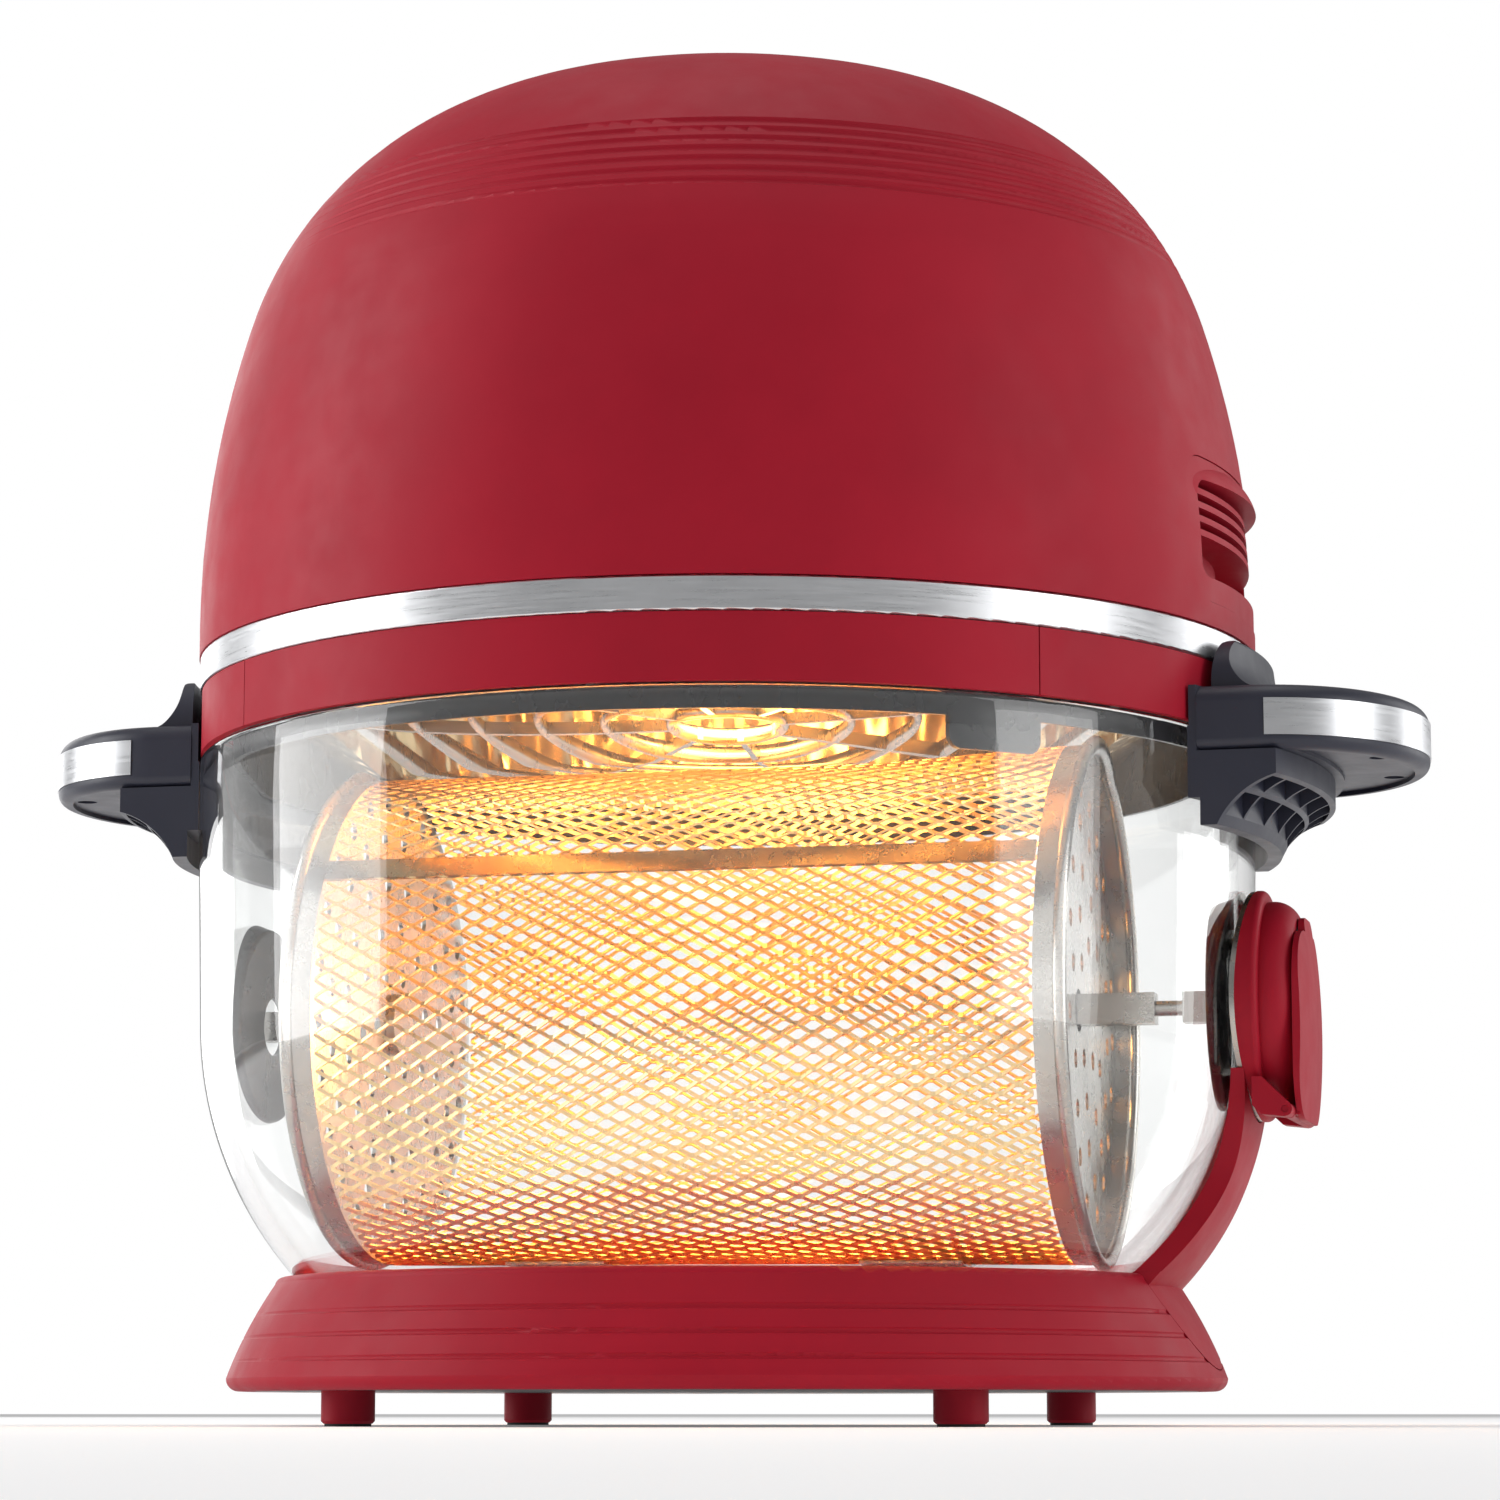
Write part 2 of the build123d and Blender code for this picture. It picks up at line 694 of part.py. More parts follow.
with BuildPart() as hinge_pins:
    for centre in hinge_centres:
        with BuildSketch(across(centre - hinge_length / 2 - 0.8)):
            with Locations((0, -hinge_drop)):
                Circle(0.7)
        extrude(amount=hinge_length + 1.6)
save(hinge_pins, "hinge_pins")

# ---------------------------------------------------------------- handles

inlay_low_z, inlay_high_z = 154.3, 162.8


def plate_outline(inset):
    """Outline of a handle plate seen from above: straight sides and a half-oval end."""
    half = handle_half_width - inset
    with BuildSketch(Plane.XY) as outline:
        with BuildLine():
            Polyline((handle_root_x, half), (115, half), (115, -half), (handle_root_x, -half))
            EllipticalCenterArc((handle_root_x, 0), handle_reach - handle_root_x - inset, half,
                                start_angle=-90, arc_size=180)
        make_face()
    return outline.sketch


def plate_slab(inset, low, high):
    """Slab of the plate's outline between two heights."""
    with BuildSketch(Plane.XY.offset(low)) as slab:
        add(plate_outline(inset))
    return extrude(slab.sketch, amount=high - low, mode=Mode.PRIVATE)


grip_screw_spots = [(159.0, -16.5), (159.0, 16.5)]


def grip_body():
    """Solid paddle with an upright thumb tab that follows the head."""
    with BuildPart() as body:
        add(plate_slab(0, handle_bottom_z, handle_top_z))
        fillet(body.edges().group_by(Axis.Z)[-1].filter_by(lambda e: e.center().X > 120), 4.0)
        fillet(body.edges().group_by(Axis.Z)[0].filter_by(lambda e: e.center().X > 120), 2.5)
        # Recess under the plate
        recess = plate_slab(3.6, handle_bottom_z, handle_bottom_z + 1.0)
        add(recess - upright(bracket_r + 19.0, 140, 160), mode=Mode.SUBTRACT)
        # Thumb tab, dished on its outer face
        with BuildSketch(Plane.XZ, mode=Mode.PRIVATE) as tab_profile:
            with BuildLine():
                Polyline((bracket_r, 160), (bracket_r, 177.8))
                ThreePointArc((bracket_r, 177.8), (130.5, 178.9), (131.9, 178.0))
                Spline((131.9, 178.0), (132.9, 172.6), (135.4, 168.6), (140.5, handle_top_z - 0.2),
                       tangents=((0.12, -1), (1, -0.2)))
                Polyline((140.5, handle_top_z - 0.2), (140.5, 160), (bracket_r, 160))
            make_face()
        tab = revolve(tab_profile.sketch, axis=Axis.Z, mode=Mode.PRIVATE)
        with BuildSketch(side_plane(110), mode=Mode.PRIVATE) as tab_front:
            with Locations((0, 162.0)):
                RectangleRounded(77.0, 34.0, 11.0)
        window = extrude(tab_front.sketch, amount=50, mode=Mode.PRIVATE)
        add(tab & window)
        add(upright(bracket_r, 140, 190), mode=Mode.SUBTRACT)
        # Groove for the inlay
        rim = plate_slab(-1.0, inlay_low_z, inlay_high_z) - plate_slab(1.0, inlay_low_z, inlay_high_z)
        add(rim & Pos(inlay_start_x + 20, 0, 158) * Box(40, 120, 40, mode=Mode.PRIVATE), mode=Mode.SUBTRACT)
        # Screw holes from below
        with BuildSketch(Plane.XY.offset(handle_bottom_z)):
            with Locations(*grip_screw_spots):
                Circle(2.4)
        extrude(amount=8.0, mode=Mode.SUBTRACT)
    return body.part


def inlay_body():
    """Metal strip let into the edge of the plate."""
    with BuildPart() as body:
        add(plate_slab(-0.25, inlay_low_z + 0.05, inlay_high_z - 0.05))
        add(plate_slab(0.95, inlay_low_z, inlay_high_z), mode=Mode.SUBTRACT)
        with Locations((inlay_start_x + 20.1, 0, 158)):
            Box(40, 120, 40, mode=Mode.INTERSECT)
    return body.part


bracket_half = handle_half_width - 0.3
bracket_top_z = handle_bottom_z - 0.1
cove_top = (146.0, 145.5)
cove_mid = (138.2, 141.2)
cove_foot = (133.2, 134.2)


def cove_face(depth):
    """Half section of the bracket's block, its hollow underside moved in by depth."""
    with BuildSketch(Plane.XZ) as section:
        with BuildLine():
            ThreePointArc((cove_top[0] - 0.5 * depth, cove_top[1] + depth),
                          (cove_mid[0] - 0.6 * depth, cove_mid[1] + 0.8 * depth),
                          (cove_foot[0] - 0.8 * depth, cove_foot[1] + 0.6 * depth))
            Polyline((cove_foot[0] - 0.8 * depth, cove_foot[1] + 0.6 * depth), (bracket_r + 0.5, cove_foot[1]),
                     (bracket_r + 0.5, bracket_top_z), (cove_top[0], bracket_top_z),
                     (cove_top[0] - 0.5 * depth, cove_top[1] + depth))
        make_face()
    return section.sketch


def bracket_body():
    """Clamp that follows the glass, with a block under the plate hollowed out between ribs."""
    with BuildPart() as body:
        with BuildSketch(Plane.XZ, mode=Mode.PRIVATE) as clamp:
            with BuildLine():
                Polyline((bowl_r + 0.15, 140.5), (bracket_r + 1.2, 140.5), (bracket_r + 1.2, bracket_top_z),
                         (bracket_r - 0.1, bracket_top_z), (bracket_r - 0.1, handle_top_z),
                         (skirt_r + 0.7, handle_top_z), (skirt_r + 0.7, 157.0), (bowl_r + 0.15, 157.0), close=True)
            make_face()
        add(revolve(clamp.sketch, axis=Axis.Z, mode=Mode.PRIVATE))
        add(revolve(cove_face(0), axis=Axis.Z, mode=Mode.PRIVATE))
        with Locations((150, 0, 150)):
            Box(100, 2 * bracket_half, 60, mode=Mode.INTERSECT)
        # Pockets in the underside, between ribs that fan out and one that follows the glass
        pocket = revolve(cove_face(0) - cove_face(3.6), axis=Axis.Z, mode=Mode.PRIVATE)
        pocket = pocket & (upright(144.6, 120, 150) - upright(134.4, 120, 150))
        pocket = pocket - (upright(139.6, 120, 150) - upright(138.6, 120, 150))
        pocket = pocket & Pos(150, 0, 150) * Box(100, 2 * bracket_half - 3.2, 60, mode=Mode.PRIVATE)
        rib_count = 6
        for index in range(rib_count):
            turn = -15.0 + 30.0 * index / (rib_count - 1)
            rib = Rot(0, 0, turn) * (Pos(140, 0, 140) * Box(30, 1.0, 40, mode=Mode.PRIVATE))
            pocket = pocket - rib
        add(pocket, mode=Mode.SUBTRACT)
    return body.part


handle_pieces = (("grip", grip_body), ("bracket", bracket_body), ("inlay", inlay_body))
for piece_name, make_piece in handle_pieces:
    solid = make_piece()
    for side_name, shape in (("right", solid), ("left", solid.mirror(Plane.YZ))):
        with BuildPart() as handle_piece:
            add(shape)
        save(handle_piece, f"handle_{side_name}_{piece_name}")

with BuildPart() as handle_screws:
    spots = grip_screw_spots + [(-x, y) for x, y in grip_screw_spots]
    with BuildSketch(Plane.XY.offset(handle_bottom_z + 2.6)):
        with Locations(*spots):
            Circle(2.2)
    extrude(amount=3.0)
    with BuildSketch(Plane.XY.offset(handle_bottom_z + 2.6)):
        with Locations(*spots):
            RegularPolygon(1.1, 6)
    extrude(amount=1.2, mode=Mode.SUBTRACT)
save(handle_screws, "handle_screws")

# ---------------------------------------------------------------- head


def dome_points(inset):
    """Ends of the dome's arcs, moved in by inset, from the shoulder up to the axis."""
    centre = (dome_r - dome_arcs[0][0], dome_tangent_z)
    angle = 0.0
    result = []
    for index, (radius, turn) in enumerate(dome_arcs):
        start = angle
        angle += turn
        result.append((centre, radius - inset, start, turn))
        if index + 1 < len(dome_arcs):
            step = radius - dome_arcs[index + 1][0]
            centre = (centre[0] + step * cos(radians(angle)), centre[1] + step * sin(radians(angle)))
    return result


def dome_solid(inset, low, mode=Mode.ADD):
    """Solid dome down to the height low, all its faces moved in by inset."""
    with BuildSketch(Plane.XZ, mode=Mode.PRIVATE) as profile:
        with BuildLine():
            arcs = dome_points(inset)
            for centre, radius, start, turn in arcs:
                CenterArc(centre, radius, start, turn)
            centre, radius, start, turn = arcs[-1]
            end = (centre[0] + radius * cos(radians(start + turn)), centre[1] + radius * sin(radians(start + turn)))
            Polyline(end, (-20, end[1]), (-20, low), (dome_r - inset, low), (dome_r - inset, dome_tangent_z))
        make_face()
        with Locations((100, 250)):
            Rectangle(200, 200, mode=Mode.INTERSECT)
    return revolve(profile.sketch, axis=Axis.Z, mode=mode)


def vent_outline(grow):
    """Side vent seen from the side, in Y and Z."""
    with BuildSketch(Plane.XY) as outline:
        with Locations((0, vent_z)):
            RectangleRounded(86.0 + 2 * grow, 34.0 + 2 * grow, 9.0 + grow)
    return outline.sketch


def vent_prism(grow, start, length):
    """Prism of the vent's outline along X."""
    with BuildSketch(side_plane(start)) as outline:
        add(vent_outline(grow))
    return extrude(outline.sketch, amount=length, mode=Mode.PRIVATE)


groove_count = 10

with BuildPart() as dome_shell:
    dome_solid(0, dome_bottom_z)
    dome_solid(dome_wall, dome_bottom_z - 1, Mode.SUBTRACT)
    # Fine grooves round the shoulder of the dome, which run out towards the left
    centre, radius = dome_points(0)[1][:2]
    groove_turns = [radians(25.7 + index * 2.21) for index in range(groove_count)]
    groove_spots = [(centre[0] + radius * cos(a), centre[1] + radius * sin(a)) for a in groove_turns]
    add(faded_grooves(groove_spots, 1.3, 1.1, 0.6, -20), mode=Mode.SUBTRACT)
    # Opening for the control panel
    with BuildSketch(Plane.XY.offset(300)):
        Circle(panel_r + 0.3)
    extrude(amount=40, mode=Mode.SUBTRACT)
    # Openings for the side vents
    add(vent_prism(0.2, -140, 280), mode=Mode.SUBTRACT)
    # Hole for the cord gland at the rear
    with BuildSketch(rear_plane(100, gland_z)):
        Circle(6.2)
    extrude(amount=35, mode=Mode.SUBTRACT)
save(dome_shell, "dome_shell")

louvre_count = 4
vent_rim = 5.6
pocket_depth = 9.0


def side_vent(side):
    """Frame flush with the dome round a pocket, with slats in its upper half and a hood above."""
    with BuildPart() as body:
        behind = dome_solid(dome_wall + 0.6, 150, Mode.PRIVATE)
        add((vent_prism(0, 80, 60) & dome_solid(0.3, 150, Mode.PRIVATE)) - behind)
        # Hood that bulges out over the upper edge of the pocket
        with BuildSketch(Plane.XZ, mode=Mode.PRIVATE) as hood_profile:
            with BuildLine():
                ThreePointArc((86.0, 205.5), (89.3, 213.5), (86.0, 221.0))
                Polyline((86.0, 221.0), (80.0, 221.0), (80.0, 205.5), (86.0, 205.5))
            make_face()
        hood = Pos(39.6, 0, 0) * revolve(hood_profile.sketch, axis=Axis.Z, mode=Mode.PRIVATE)
        add((hood & vent_prism(-0.6, 80, 60)) - behind)
        add(vent_prism(-vent_rim, 80, 60), mode=Mode.SUBTRACT)
        # Sleeve and back wall of the pocket
        deep = dome_solid(pocket_depth, 150, Mode.PRIVATE)
        shell = dome_solid(1.5, 150, Mode.PRIVATE) - dome_solid(pocket_depth + 1.2, 150, Mode.PRIVATE)
        opening = vent_prism(-vent_rim, 80, 60)
        sleeve = vent_prism(1.2 - vent_rim, 80, 60) & shell
        back = sleeve & deep
        add(sleeve - opening)
        add(back)
        slat_zone = (dome_solid(0.9, 150, Mode.PRIVATE) - deep) & vent_prism(0.1 - vent_rim, 80, 60)
        for index in range(louvre_count):
            with Locations((110, 0, 203.4 + index * 3.3)):
                slat = Box(60, 100, 1.5, mode=Mode.PRIVATE)
            add(slat & slat_zone)
        for index in range(louvre_count - 1):
            with Locations((110, 0, 205.05 + index * 3.3)):
                Box(60, 60, 1.2, mode=Mode.SUBTRACT)
    return body.part if side > 0 else body.part.mirror(Plane.YZ)


with BuildPart() as side_vent_right:
    add(side_vent(1))
save(side_vent_right, "side_vent_right")

with BuildPart() as side_vent_left:
    add(side_vent(-1))
save(side_vent_left, "side_vent_left")

with BuildPart() as trim_band:
    ring(125.2, 127.3, band_bottom_z + 0.1, dome_bottom_z - 0.1)
    fillet(trim_band.edges().filter_by(GeomType.CIRCLE).group_by(SortBy.RADIUS)[-1], 0.5)
save(trim_band, "trim_band")

skirt_split = 46.8


def skirt_part(start, turn):
    """Part of the plastic skirt under the trim band."""
    with BuildSketch(Plane.XY.offset(skirt_bottom_z)) as outline:
        add(ring_sector(skirt_r - 1.9, skirt_r, start, turn))
    extrude(outline.sketch, amount=band_bottom_z - skirt_bottom_z)


with BuildPart() as skirt_front:
    skirt_part(-90 - skirt_split + 0.15, 2 * skirt_split - 0.3)
save(skirt_front, "skirt_front")

with BuildPart() as skirt_rear:
    skirt_part(-90 + skirt_split, 360 - 2 * skirt_split)
save(skirt_rear, "skirt_rear")

collar_r = 118.0
collar_low_z = 153.4
with BuildPart() as inner_collar:
    ring(collar_r - 1.5, collar_r, collar_low_z, 170.0)
    ring(collar_r - 1.5, 124.5, 158.9, 160.3)
    # Finger tab that reaches down into the bowl
    tab_out = (*polar_spot(0, 1, -46.3), 0)
    with BuildSketch(Plane(origin=(0, 0, collar_low_z), x_dir=(-tab_out[1], tab_out[0], 0), z_dir=tab_out)) as tab:
        RectangleRounded(23.5, 14.0, 3.0)
    with BuildSketch(Plane.XZ, mode=Mode.PRIVATE) as tab_section:
        ring_profile(collar_r - 1.5, collar_r, collar_low_z - 8, collar_low_z + 8)
    tab_block = extrude(tab.sketch, amount=150, mode=Mode.PRIVATE)
    add(revolve(tab_section.sketch, axis=Axis.Z, mode=Mode.PRIVATE) & tab_block)
save(inner_collar, "inner_collar")

heater_r = 72.0
leg_angles = (80.0, 100.0)
with BuildPart() as heat_reflector:
    with BuildSketch(Plane.XZ):
        with BuildLine():
            Polyline((116.3, 163.0), (97.0, 161.0), (92.0, 197.0), (84.0, reflector_top_z - 0.8),
                     (5.0, reflector_top_z - 0.8), (5.0, reflector_top_z), (84.4, reflector_top_z),
                     (92.8, 197.6), (97.6, 161.9), (116.3, 163.8), close=True)
        make_face()
    revolve(axis=Axis.Z)
    with BuildSketch(Plane.XY.offset(200)):
        with Locations(*[polar_spot(0, heater_r, angle) for angle in leg_angles]):
            Circle(4.0)
    extrude(amount=8, mode=Mode.SUBTRACT)
save(heat_reflector, "heat_reflector")

with BuildPart() as heater_coil:
    with BuildLine(Plane.XY.offset(heater_z)) as coil_path:
        CenterArc((0, 0, 0), heater_r, leg_angles[1], 360 - (leg_angles[1] - leg_angles[0]))
    with BuildSketch(Plane(origin=coil_path.line @ 0, z_dir=coil_path.line % 0)):
        Circle(3.2)
    sweep()
    with BuildSketch(Plane.XY.offset(heater_z)):
        with Locations(*[polar_spot(0, heater_r, angle) for angle in leg_angles]):
            Circle(3.2)
    extrude(amount=36.0)
save(heater_coil, "heater_coil")

with BuildPart() as heater_brackets:
    for angle in (0.0, 200.0, 320.0):
        spot = polar_spot(0, heater_r, angle)
        with BuildSketch(Plane.XY.offset(179.4)):
            with Locations(Location((spot[0], spot[1], 0), (0, 0, angle))):
                Rectangle(2.0, 8.0)
        extrude(amount=24.4)
save(heater_brackets, "heater_brackets")

with BuildPart() as fan_guard:
    for guard_r in (14.0, 30.0, 46.0, 62.0, 78.0, 95.0):
        with BuildSketch(Plane.XZ):
            with Locations((guard_r, grille_z)):
                Circle(1.0)
        revolve(axis=Axis.Z)
    with BuildSketch(Plane.XY.offset(grille_z - 0.7)):
        with PolarLocations(54.5, 8):
            Rectangle(83.0, 1.6)
    extrude(amount=1.4)
save(fan_guard, "fan_guard")

shaft_r = 3.0
with BuildPart() as fan_motor:
    ring(shaft_r + 0.5, 24.0, 212.0, 243.0)
    ring(24.0, 30.0, 214.0, 217.0)
save(fan_motor, "fan_motor")

with BuildPart() as motor_bracket:
    with BuildSketch(Plane.XY.offset(209.0)):
        Circle(34.0)
        Circle(12.0, mode=Mode.SUBTRACT)
    extrude(amount=2.8)
    with BuildSketch(Plane.XY.offset(204.9)):
        with PolarLocations(30.0, 4, start_angle=45):
            Circle(3.5)
    extrude(amount=4.1)
save(motor_bracket, "motor_bracket")

with BuildPart() as fan_shaft:
    ring(0, shaft_r, 178.0, 263.0)
save(fan_shaft, "fan_shaft")


def fan(low, height, tip_r, hub_r_out, count, disc_low):
    """Radial fan with a hub, a disc and upright blades."""
    with BuildPart() as body:
        ring(shaft_r, hub_r_out, low, low + height)
        ring(hub_r_out, tip_r, disc_low, disc_low + 1.2)
        for index in range(count):
            turn = 360.0 * index / count
            middle = polar_spot(0, (tip_r + hub_r_out) / 2, turn)
            with BuildSketch(Plane.XY.offset(low)):
                with Locations(Location((middle[0], middle[1], 0), (0, 0, turn + 18.0))):
                    Rectangle(tip_r - hub_r_out - 6, 1.4)
            extrude(amount=height)
    return body.part


with BuildPart() as convection_fan:
    add(fan(182.0, 13.0, 52.0, 9.0, 9, 193.8))
save(convection_fan, "convection_fan")

with BuildPart() as cooling_fan:
    add(fan(249.0, 12.0, 46.0, 10.0, 9, 249.0))
save(cooling_fan, "cooling_fan")

with BuildPart() as control_panel:
    crown_r = dome_arcs[2][0]
    crown_centre_z = dome_points(0)[2][0][1]
    with BuildSketch(Plane.XZ):
        with BuildLine():
            edge_turn = degrees(asin(panel_r / crown_r))
            cap = CenterArc((0, crown_centre_z), crown_r, 90 - edge_turn, edge_turn)
            Polyline(cap @ 1, cap @ 1 - (0, 2.2))
            CenterArc((0, crown_centre_z - 2.2), crown_r, 90 - edge_turn, edge_turn)
            Line(cap @ 0, cap @ 0 - (0, 2.2))
        make_face()
    revolve(axis=Axis.Z)
save(control_panel, "control_panel")

with BuildPart() as control_board:
    ring(0, 42.0, 305.0, 306.6)
    with BuildSketch(Plane.XY.offset(306.6)):
        with GridLocations(22, 22, 3, 3):
            Rectangle(9, 7)
    extrude(amount=3.0)
save(control_board, "control_board")

with BuildPart() as cord_gland:
    with BuildSketch(rear_plane(116.6, gland_z)):
        Circle(6.0)
        Circle(3.4, mode=Mode.SUBTRACT)
    extrude(amount=10.9)
save(cord_gland, "cord_gland")

with BuildPart() as head_screws:
    with BuildSketch(Plane.XY.offset(156.9)):
        with PolarLocations(120.4, 6, start_angle=30):
            Circle(1.6)
    extrude(amount=2.0)
    with BuildSketch(Plane.XY.offset(160.3)):
        with PolarLocations(120.4, 6, start_angle=30):
            Circle(1.4)
    extrude(amount=9.0)
save(head_screws, "head_screws")
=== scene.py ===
"""Looks of the rotisserie oven: materials, the drum's expanded mesh, lights and camera.

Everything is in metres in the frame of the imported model: origin on the table at the bowl's
centre line, +Z up, -Y the front, +X the side of the drive arm.
"""
import json
import math

import bpy
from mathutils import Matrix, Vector


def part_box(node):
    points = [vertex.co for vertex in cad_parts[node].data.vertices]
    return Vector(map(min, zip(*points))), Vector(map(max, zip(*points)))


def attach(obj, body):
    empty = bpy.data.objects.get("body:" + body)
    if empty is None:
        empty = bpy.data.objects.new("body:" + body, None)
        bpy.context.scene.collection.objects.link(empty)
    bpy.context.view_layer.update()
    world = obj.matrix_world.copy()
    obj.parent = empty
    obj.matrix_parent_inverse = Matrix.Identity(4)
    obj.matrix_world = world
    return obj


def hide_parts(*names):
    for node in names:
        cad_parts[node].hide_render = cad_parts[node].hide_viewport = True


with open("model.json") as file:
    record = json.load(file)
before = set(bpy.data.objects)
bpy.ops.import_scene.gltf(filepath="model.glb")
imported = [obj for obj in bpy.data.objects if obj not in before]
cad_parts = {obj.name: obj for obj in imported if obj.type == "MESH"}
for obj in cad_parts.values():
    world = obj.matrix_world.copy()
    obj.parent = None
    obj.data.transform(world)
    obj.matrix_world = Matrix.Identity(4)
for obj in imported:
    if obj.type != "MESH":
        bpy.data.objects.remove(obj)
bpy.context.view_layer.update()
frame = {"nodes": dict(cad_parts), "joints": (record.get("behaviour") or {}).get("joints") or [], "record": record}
nodes = frame["nodes"]
slot_of = {part["node"]: part["material_slot"] for part in frame["record"]["subparts"]}
scene = bpy.context.scene
MM = 0.001
WHITE = (1.0, 1.0, 1.0, 1.0)


# ------------------------------------------------------------------ camera

def make_camera():
    """Low three-quarter view from the front, a little towards the drive side."""
    azimuth, tilt, turn = math.radians(14.1), math.radians(8.42), math.radians(0.288)
    distance, height = 1.075, 0.003
    data = bpy.data.cameras.new("camera")
    data.lens = 107.5
    data.sensor_width = 36.0
    data.clip_start = 0.01
    camera = bpy.data.objects.new("camera", data)
    camera.location = (distance * math.sin(azimuth), -distance * math.cos(azimuth), height)
    camera.rotation_euler = (math.pi / 2 + tilt, 0.0, azimuth - turn)
    scene.collection.objects.link(camera)
    scene.camera = camera


make_camera()


# ------------------------------------------------------------------ material tools

class Recipe:
    """A node material made step by step, with the object's own coordinates."""

    def __init__(self, name, **fixed):
        self.material = bpy.data.materials.new(name)
        self.material.use_nodes = True
        self.tree = self.material.node_tree
        self.shader = self.tree.nodes["Principled BSDF"]
        self.coords = self.tree.nodes.new("ShaderNodeTexCoord").outputs["Object"]
        for socket, value in fixed.items():
            self.shader.inputs[socket.replace("_", " ")].default_value = value

    def node(self, kind, **settings):
        """New shader node of that kind with its settings."""
        made = self.tree.nodes.new("ShaderNode" + kind)
        for name, value in settings.items():
            setattr(made, name, value)
        return made

    def link(self, source, target):
        self.tree.links.new(source, target)

    def stretched(self, scale):
        """Coordinates scaled by a different factor along each axis."""
        mapping = self.node("Mapping")
        mapping.inputs["Scale"].default_value = scale
        self.link(self.coords, mapping.inputs["Vector"])
        return mapping.outputs["Vector"]

    def noise(self, size_mm, detail=2.0, rough=0.5, coords=None):
        """Noise whose lumps are about size_mm across."""
        made = self.node("TexNoise")
        made.inputs["Scale"].default_value = 1000.0 / size_mm
        made.inputs["Detail"].default_value = detail
        made.inputs["Roughness"].default_value = rough
        self.link(coords or self.coords, made.inputs["Vector"])
        return made.outputs["Fac"]

    def spread(self, value, low, high, start=0.3, end=0.7):
        """Maps value from start..end to low..high."""
        made = self.node("MapRange")
        for name, number in (("From Min", start), ("From Max", end), ("To Min", low), ("To Max", high)):
            made.inputs[name].default_value = number
        self.link(value, made.inputs["Value"])
        return made.outputs["Result"]

    def colours(self, value, *stops):
        """Colour ramp through (position, colour) stops."""
        made = self.node("ValToRGB")
        ramp = made.color_ramp
        while len(ramp.elements) < len(stops):
            ramp.elements.new(0.5)
        for element, (position, colour) in zip(ramp.elements, stops):
            element.position = position
            element.color = (*colour, 1.0)
        self.link(value, made.inputs["Fac"])
        self.link(made.outputs["Color"], self.shader.inputs["Base Color"])
        return made.outputs["Color"]

    def roughness(self, value):
        self.link(value, self.shader.inputs["Roughness"])

    def bump(self, value, depth_mm, strength=1.0, after=None):
        """Surface relief of depth_mm, on top of an earlier one if given."""
        made = self.node("Bump")
        made.inputs["Distance"].default_value = depth_mm * MM
        made.inputs["Strength"].default_value = strength
        self.link(value, made.inputs["Height"])
        if after is not None:
            self.link(after, made.inputs["Normal"])
        self.link(made.outputs["Normal"], self.shader.inputs["Normal"])
        return made.outputs["Normal"]


def shade(colour, factor):
    """The colour made lighter or darker by a factor."""
    return tuple(channel * factor for channel in colour)


def moulded_plastic(name, colour, rough=0.5, grain_mm=0.35, grain_depth=0.02, **fixed):
    """Moulded plastic with a fine spark-eroded grain and faint clouds of colour."""
    made = Recipe(name, **fixed)
    clouds = made.noise(38.0, detail=3.0)
    made.colours(clouds, (0.3, shade(colour, 0.93)), (0.7, shade(colour, 1.07)))
    made.roughness(made.spread(made.noise(9.0, detail=4.0), rough - 0.05, rough + 0.05))
    grain = made.bump(made.noise(grain_mm, detail=3.0, rough=0.6), grain_depth)
    made.bump(made.noise(3.5, detail=1.0), grain_depth * 0.8, 0.5, after=grain)
    return made.material


def worked_metal(name, colour, rough=0.25, lines=(30, 30, 1), line_mm=18.0, depth=0.006, spots=0.0):
    """Metal with fine drawn lines, softer and sharper patches, and faint stains."""
    made = Recipe(name, Metallic=1.0)
    stains = made.noise(16.0, detail=5.0, rough=0.6)
    made.colours(stains, (0.3, shade(colour, 0.9 - spots)), (0.65, colour))
    drawn = made.noise(line_mm, detail=4.0, rough=0.7, coords=made.stretched(lines))
    made.roughness(made.spread(drawn, rough * 0.75, rough * 1.3))
    made.bump(drawn, depth)
    return made.material


def clear_glass(name):
    """Thick clear glass. Light that only passes through on its way to a lamp isn't bent."""
    made = Recipe(name, Roughness=0.0, IOR=1.5, Transmission_Weight=1.0)
    smears = made.noise(24.0, detail=5.0, rough=0.65)
    made.colours(smears, (0.35, (0.975, 0.985, 0.98)), (0.7, (1.0, 1.0, 1.0)))
    made.roughness(made.spread(smears, 0.0, 0.02, 0.45, 0.8))
    made.bump(made.noise(30.0, detail=1.0), 0.05, 0.5)
    output = made.tree.nodes["Material Output"]
    path = made.node("LightPath")
    clear = made.node("BsdfTransparent")
    clear.inputs["Color"].default_value = (0.96, 0.98, 0.97, 1.0)
    passing = made.node("Math", operation="MAXIMUM")
    made.link(path.outputs["Is Shadow Ray"], passing.inputs[0])
    made.link(path.outputs["Is Diffuse Ray"], passing.inputs[1])
    mix = made.node("MixShader")
    made.link(passing.outputs["Value"], mix.inputs["Fac"])
    made.link(made.shader.outputs["BSDF"], mix.inputs[1])
    made.link(clear.outputs["BSDF"], mix.inputs[2])
    made.link(mix.outputs["Shader"], output.inputs["Surface"])
    return made.material


